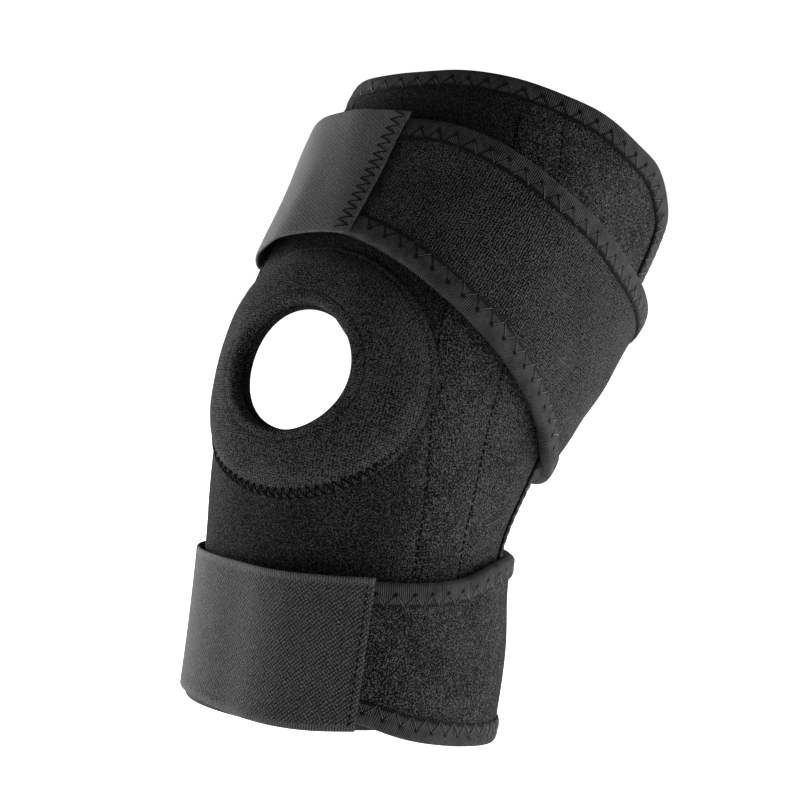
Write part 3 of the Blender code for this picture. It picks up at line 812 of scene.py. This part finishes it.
def wing_tapes(wing, angles, top_rows, bottom_rows, **settling):
    """The tapes of a wing's two long edges, with their zigzags."""
    pieces = []
    for label, rows, inward in (("top", top_rows, -1), ("bottom", bottom_rows, 1)):
        name, node = f"{wing}_{label}_tape", f"{wing}_wing_{label}_binding"
        pieces += bound_edge(name, node, edge(rows, angles), inward, wing_middle, WING_WALL, **settling)
    return pieces


wing_middle = WING_LEVEL + WING_WALL / 2
angle, station = wing_places(THIGH_WING_FRONT, THIGH_WING_TOP, THIGH_WING_BOTTOM, count=44)
level = wing_middle + THIGH_SWELL * swell(angle, station, 160, 0.05, 0.11) - settled(angle)
thigh_wing = laid_cloth("knit_thigh_wing", angle, station, level, WING_WALL, slanted_knit)
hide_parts("thigh_wing")
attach(thigh_wing, "root")

angles = np.linspace(THIGH_WING_FRONT, WING_ROOT, THIGH_TAPE_POINTS)
on_wing = wing_tapes("thigh", angles, THIGH_WING_TOP, THIGH_WING_BOTTOM, drop=settled)


# Calf wing
# The same looped foam cloth as the panel's flanks, sewn on at the -X flank and drawn round
# the calf. Both long edges are bound.

CALF_WING_TOP = (
    (18, -0.525), (37, -0.512), (54, -0.505), (76, -0.487), (103, -0.432), (125, -0.430), (150, -0.42),
    (190, -0.43), (230, -0.467), (278, -0.50),
)
CALF_WING_BOTTOM = (
    (18, -0.905), (41, -0.938), (55, -0.969), (78, -0.995), (102, -1.008), (140, -1.008), (200, -0.993),
    (278, -0.963),
)
CALF_WING_FRONT, CALF_SWELL, CALF_TAPE_POINTS = 18.0, 0.00025, 260

angle, station = wing_places(CALF_WING_FRONT, CALF_WING_TOP, CALF_WING_BOTTOM, count=34)
level = wing_middle + CALF_SWELL * swell(angle, station, 190, 0.07, 0.13)
calf_wing = laid_cloth("looped_calf_wing", angle, station, level, WING_WALL, looped_cloth, 0.0 * angle + 1.0)
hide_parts("calf_wing")
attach(calf_wing, "root")

angles = np.linspace(CALF_WING_FRONT, WING_ROOT, CALF_TAPE_POINTS)
on_wing = wing_tapes("calf", angles, CALF_WING_TOP, CALF_WING_BOTTOM, sunk=0.00014)


# Hook patch
# A thin moulded patch under the free end of the thigh strap, one rounded corner of which
# shows beside the strap.

# its right edge in degrees: the corner, its slant over the patch's height, and the corner's
# rounding, with the share of the height that it reaches over
HOOK_LEFT, HOOK_CORNER, HOOK_SLANT, HOOK_ROUNDING, HOOK_ROUNDED = -16.0, 5.6, 9.0, 2.0, 0.06
HOOK_BOTTOM, HOOK_TOP, HOOK_WALL = 0.365, 0.50, 0.001

hook_finish = Finish("hook_tape", 0.8, 0.03, 0.4, 0.1)
crumbs = hook_finish.noise(CRUMB_SIZE, 2.0)
hook_tape = hook_finish.painted(tint(0.004), tint(0.022), crumbs, crumbs, 0.0004)
share = np.linspace(0, 1, 26)[:, None]
right = HOOK_CORNER - HOOK_SLANT * share - HOOK_ROUNDING * np.exp(-share / HOOK_ROUNDED)
angle = HOOK_LEFT + (right - HOOK_LEFT) * np.linspace(0, 1, 30)
station = station_at(HOOK_BOTTOM + (HOOK_TOP - HOOK_BOTTOM) * share) + 0.0 * angle
level = WING_LEVEL + WING_WALL + GAP + HOOK_WALL / 2 + 0.0 * angle
hook_patch = laid_cloth("hook_patch", angle, station, level, HOOK_WALL, hook_tape)
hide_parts("thigh_hook_pad")
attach(hook_patch, "root")


# Thigh strap
# Dark grey elastic webbing with a fine slanted weave, from the -X flank over the front of
# the thigh. Its root is sewn down with two rows of stitches, its free end with a wide zigzag.

STRAP_WALL, STRAP_ROOT, STRAP_TURN, STRAP_ROUNDING = 0.0014, -72.0, 1.2, 0.015
OVER_WING = WING_LEVEL + WING_WALL + 2 * GAP + TAPE_WALL
THIGH_STRAP_END = 2.0
THIGH_STRAP_TOP = ((-72, 0.71), (-60, 0.69), (-46, 0.668), (-25, 0.665), (-10, 0.67), (2, 0.675))
THIGH_STRAP_BOTTOM = (
    (-72, 0.285), (-60, 0.24), (-46, 0.205), (-30, 0.213), (-19, 0.232), (-10, 0.246), (2, 0.254),
)
THIGH_STRAP_CLIMB = (
    (-72, 0.0, 0.0), (-62, 0.0, 0.26), (-46, 0.20, 0.76), (-33, 0.70, 0.98), (-24, 1.0, 1.0), (2, 1.0, 1.0),
)

WARP_PITCH, WEFT_PITCH, WEAVE_CLOUD_SIZE, STRAP_SWELL = 0.0013, 0.0011, 0.012, 0.00018
ROOT_PITCH, ROOT_ROWS, ROOT_MARGIN, PROUD_OF_ROOT = 0.0018, (0.003, 0.009), 0.001, 0.0003
THIGH_ZIGZAG_PITCH, THIGH_ZIGZAG_OUTER, THIGH_ZIGZAG_INNER = 0.0021, 0.0010, 0.0072
THIGH_ZIGZAG_THREAD, THIGH_ZIGZAG_PROUD = 0.00024, 0.00015

webbing_finish = Finish("slanted_webbing", 0.8, 0.15, 0.4, 0.2)
around, along = webbing_finish.flat()
first_way = (around * 0.5 + along * 0.87).wave(WARP_PITCH)
other_way = (around * 0.93 - along * 0.37).wave(WEFT_PITCH)
grain = webbing_finish.noise(CRUMB_SIZE, 2.0, 0.6)
clouds = webbing_finish.noise(WEAVE_CLOUD_SIZE, 2.0, 0.5)
weave = first_way * other_way * 0.22 + grain * 1.2
share = ((weave - 0.46) * 1.9 + (clouds - 0.5) * 0.4).within(0.0, 1.0)
slanted_webbing = webbing_finish.painted(tint(0.040), tint(0.130), share, weave, 0.00035)


def strap_height(low_level, climb_rows, angles, across):
    """The strap's middle as it climbs onto its wing, sooner along its top edge."""
    low, high = (np.clip(smooth_through(climb_rows, angles, k), 0.0, 1.0) for k in (1, 2))
    climb = low + (high - low) * across
    return low_level + (OVER_WING - low_level) * climb + STRAP_WALL / 2


def strap_places(end, top_rows, bottom_rows):
    """Angles, stations and edge rounding of a strap's sheet."""
    angles = np.linspace(STRAP_ROOT, end, round((end - STRAP_ROOT) / STRAP_TURN) + 1)
    top, bottom = edge(top_rows, angles), edge(bottom_rows, angles)
    near_edge = np.array([0.0, 0.0025, 0.007, STRAP_ROUNDING, 0.03, 0.06])
    share = np.concatenate([near_edge, np.linspace(0.09, 0.91, 34), 1 - near_edge[::-1]])
    places = bottom + (top - bottom) * share[:, None, None]
    from_edge = np.minimum(share, 1 - share)
    rounding = np.sqrt(1 - np.clip(1 - from_edge / STRAP_ROUNDING, 0.0, 0.97) ** 2)
    across = share[:, None] + 0.0 * places[..., 0]
    return places[..., 0], places[..., 1], across, rounding[:, None] + 0.0 * across


def line_across(angle, top_rows, bottom_rows, margin):
    """A line up a strap's cut end, with the stations of its two edges."""
    low, high = (float(station_at(smooth_through(rows, angle))) for rows in (bottom_rows, top_rows))
    line = np.column_stack([np.full(60, angle), np.linspace(low + margin, high - margin, 60)])
    return line, low, high


def root_stitches(top_rows, bottom_rows, low_level, climb_rows):
    """Two rows of stitches across a strap's sewn end."""
    line, low, high = line_across(STRAP_ROOT, top_rows, bottom_rows, ROOT_MARGIN)
    made = []
    for inset in ROOT_ROWS:
        row = moved_in(even_steps(line, ROOT_PITCH), -inset)
        across = (row[:, 1] - low) / (high - low)
        face = strap_height(low_level, climb_rows, row[:, 0], across) + STRAP_WALL / 2
        made += stitches_on(row, every_other(row), face + PROUD_OF_ROOT)
    return made


angle, station, across, rounding = strap_places(THIGH_STRAP_END, THIGH_STRAP_TOP, THIGH_STRAP_BOTTOM)
level = strap_height(BODY_WALL + GAP, THIGH_STRAP_CLIMB, angle, across)
level = level + STRAP_SWELL * np.sin(angle * 0.35 + station * 90)
thigh_strap = laid_cloth("grey_thigh_strap", angle, station, level, STRAP_WALL * rounding, slanted_webbing)
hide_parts("thigh_strap")
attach(thigh_strap, "root")

line, _, _ = line_across(THIGH_STRAP_END, THIGH_STRAP_TOP, THIGH_STRAP_BOTTOM, ROOT_MARGIN)
bars = even_steps(line, THIGH_ZIGZAG_PITCH)
insets = np.where(np.arange(len(bars)) % 2, THIGH_ZIGZAG_OUTER, THIGH_ZIGZAG_INNER)
needle = moved_in(bars, insets)
level = np.full(len(needle), OVER_WING + STRAP_WALL + THIGH_ZIGZAG_PROUD)
stitches = stitches_on(needle, [(i, i + 1) for i in range(len(needle) - 1)], level)
stitches += root_stitches(THIGH_STRAP_TOP, THIGH_STRAP_BOTTOM, BODY_WALL + GAP, THIGH_STRAP_CLIMB)
strap_thread = sewn("thigh_strap_zigzag", stitches, THIGH_ZIGZAG_THREAD, jet_thread)


# Calf strap
# Coarser dark elastic webbing with a dotted face and ribbed selvedges, from the -X flank over
# the front of the calf to its free end on the wing, which is cut straight and stitched across.

CALF_STRAP_END = 39.0
CALF_STRAP_TOP = ((-72, -0.541), (-37, -0.533), (7, -0.516), (39, -0.490))
CALF_STRAP_BOTTOM = ((-72, -0.970), (-34, -0.976), (2, -0.985), (22, -0.978), (39, -0.957))
CALF_STRAP_CLIMB = (
    (-72, 0.0, 0.0), (-22, 0.0, 0.0), (-10, 0.15, 0.15), (3, 0.75, 0.75), (13, 1.0, 1.0), (39, 1.0, 1.0),
)
END_PITCH, END_INSET, END_MARGIN, END_THREAD, END_PROUD = 0.0016, 0.0024, 0.002, 0.00028, 0.0001

CALF_STRAP_LEVEL = BODY_WALL + 3 * GAP + TAPE_WALL
DOT_PITCH, SELVEDGE_PITCH, DRIFT_SIZE = 0.00112, 0.0009, 0.004
# where the selvedge begins and is full, as shares of the way from the middle to the edge
SELVEDGE_START, SELVEDGE_FULL = 0.885, 0.915

dotted_finish = Finish("dotted_webbing", 0.8, 0.12, 0.4, 0.2)
around, along = dotted_finish.flat()
grain = dotted_finish.noise(CRUMB_SIZE, 2.0, 0.6)
clouds = dotted_finish.noise(WEAVE_CLOUD_SIZE, 2.0, 0.5)
wobble = dotted_finish.noise(DRIFT_SIZE, 1.0)
first_way = (around * 0.8 + along * 0.6 + wobble * 0.0018).wave(DOT_PITCH)
other_way = (around * 0.8 - along * 0.6 + wobble * 0.0012).wave(DOT_PITCH)
selvedge = dotted_finish.zone()
dots = (first_way * other_way + (grain - 0.5) * 0.9).within(0.05, 0.60)
weave = dots * 0.42 * (1 - selvedge) + around.wave(SELVEDGE_PITCH) * selvedge * 0.45 + grain * 1.2
share = ((weave - 0.56) * 2.0 + (clouds - 0.5) * 0.3 + selvedge * 0.15).within(0.0, 1.0)
dotted_webbing = dotted_finish.painted(tint(0.006), tint(0.090), share, weave, 0.00050)

angle, station, across, rounding = strap_places(CALF_STRAP_END, CALF_STRAP_TOP, CALF_STRAP_BOTTOM)
level = strap_height(CALF_STRAP_LEVEL, CALF_STRAP_CLIMB, angle, across)
selvedge = ramp(np.abs(2 * across - 1), SELVEDGE_START, SELVEDGE_FULL)
calf_strap = laid_cloth(
    "dotted_calf_strap", angle, station, level, STRAP_WALL * rounding, dotted_webbing, selvedge,
)
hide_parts("calf_strap")
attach(calf_strap, "root")

line, _, _ = line_across(CALF_STRAP_END, CALF_STRAP_TOP, CALF_STRAP_BOTTOM, END_MARGIN)
row = moved_in(even_steps(line, END_PITCH), END_INSET)
level = np.full(len(row), OVER_WING + STRAP_WALL + END_PROUD)
stitches = stitches_on(row, every_other(row), level)
stitches += root_stitches(CALF_STRAP_TOP, CALF_STRAP_BOTTOM, CALF_STRAP_LEVEL, CALF_STRAP_CLIMB)
strap_thread = sewn("calf_strap_stitches", stitches, END_THREAD, jet_thread)


# Studio
# A plain pale floor below the hanging brace, five large soft lights round it, and the
# camera in front of it to the right.

CAMERA_AZIMUTH, CAMERA_ELEVATION, CAMERA_DISTANCE = np.radians(35.0), np.radians(17.0), 1.3
FOCAL_LENGTH, SENSOR_WIDTH = 139.3, 36.0
# the frame and its shift, in pixels
FRAME_WIDTH, SHIFT_RIGHT, SHIFT_UP = 800, 3, -3
SOFTBOX_SIZE, ROOM_LIGHT = 0.8, 0.03
FLOOR_HALF, FLOOR_HEIGHT, FLOOR_GLOW = 9.0, -0.3, 1.05

back = Vector((
    np.sin(CAMERA_AZIMUTH) * np.cos(CAMERA_ELEVATION),
    -np.cos(CAMERA_AZIMUTH) * np.cos(CAMERA_ELEVATION),
    np.sin(CAMERA_ELEVATION),
))
sideways = Vector((np.cos(CAMERA_AZIMUTH), np.sin(CAMERA_AZIMUTH), 0.0))
lens = bpy.data.cameras.new("camera")
lens.lens, lens.sensor_width, lens.sensor_fit = FOCAL_LENGTH, SENSOR_WIDTH, "AUTO"
lens.shift_x, lens.shift_y = SHIFT_RIGHT / FRAME_WIDTH, SHIFT_UP / FRAME_WIDTH
camera = bpy.data.objects.new("camera", lens)
bpy.context.scene.collection.objects.link(camera)
camera.location = back * CAMERA_DISTANCE
camera.rotation_euler = (-back).to_track_quat("-Z", "Y").to_euler()
bpy.context.scene.camera = camera

for name, place, power in (
    ("left_rear_softbox", sideways * -0.8 - back * 0.6, 23.0),
    ("right_rear_softbox", sideways * 0.8 - back * 0.6, 12.5),
    ("left_front_softbox", sideways * -0.95 + back * 0.25, 4.6),
    ("right_front_softbox", sideways * 0.95 + back * 0.25, 6.0),
    ("front_softbox", back * 1.1 + sideways * 0.2 + Vector((0.0, 0.0, 0.3)), 0.8),
):
    glow = bpy.data.lights.new(name, "AREA")
    glow.energy, glow.size = power, SOFTBOX_SIZE
    lamp = bpy.data.objects.new(name, glow)
    bpy.context.scene.collection.objects.link(lamp)
    lamp.location = place
    lamp.rotation_euler = (-place).to_track_quat("-Z", "Y").to_euler()

world = bpy.data.worlds.new("studio")
world.use_nodes = True
world.node_tree.nodes["Background"].inputs["Color"].default_value = (1.0, 1.0, 1.0, 1.0)
world.node_tree.nodes["Background"].inputs["Strength"].default_value = ROOM_LIGHT
bpy.context.scene.world = world

floor_mesh = bpy.data.meshes.new("floor")
signs = ((-1, -1), (1, -1), (1, 1), (-1, 1))
floor_corners = [(x * FLOOR_HALF, y * FLOOR_HALF, FLOOR_HEIGHT) for x, y in signs]
floor_mesh.from_pydata(floor_corners, [], [(0, 1, 2, 3)])
floor_paint = bpy.data.materials.new("pale_floor")
floor_paint.use_nodes = True
floor_shader = floor_paint.node_tree.nodes["Principled BSDF"]
floor_shader.inputs["Base Color"].default_value = (0.9, 0.9, 0.9, 1.0)
floor_shader.inputs["Roughness"].default_value = 0.9
floor_shader.inputs["Emission Color"].default_value = (1.0, 1.0, 1.0, 1.0)
floor_shader.inputs["Emission Strength"].default_value = FLOOR_GLOW
floor_mesh.materials.append(floor_paint)
floor = bpy.data.objects.new("floor", floor_mesh)
bpy.context.scene.collection.objects.link(floor)
bpy.context.scene.view_settings.view_transform = "Standard"
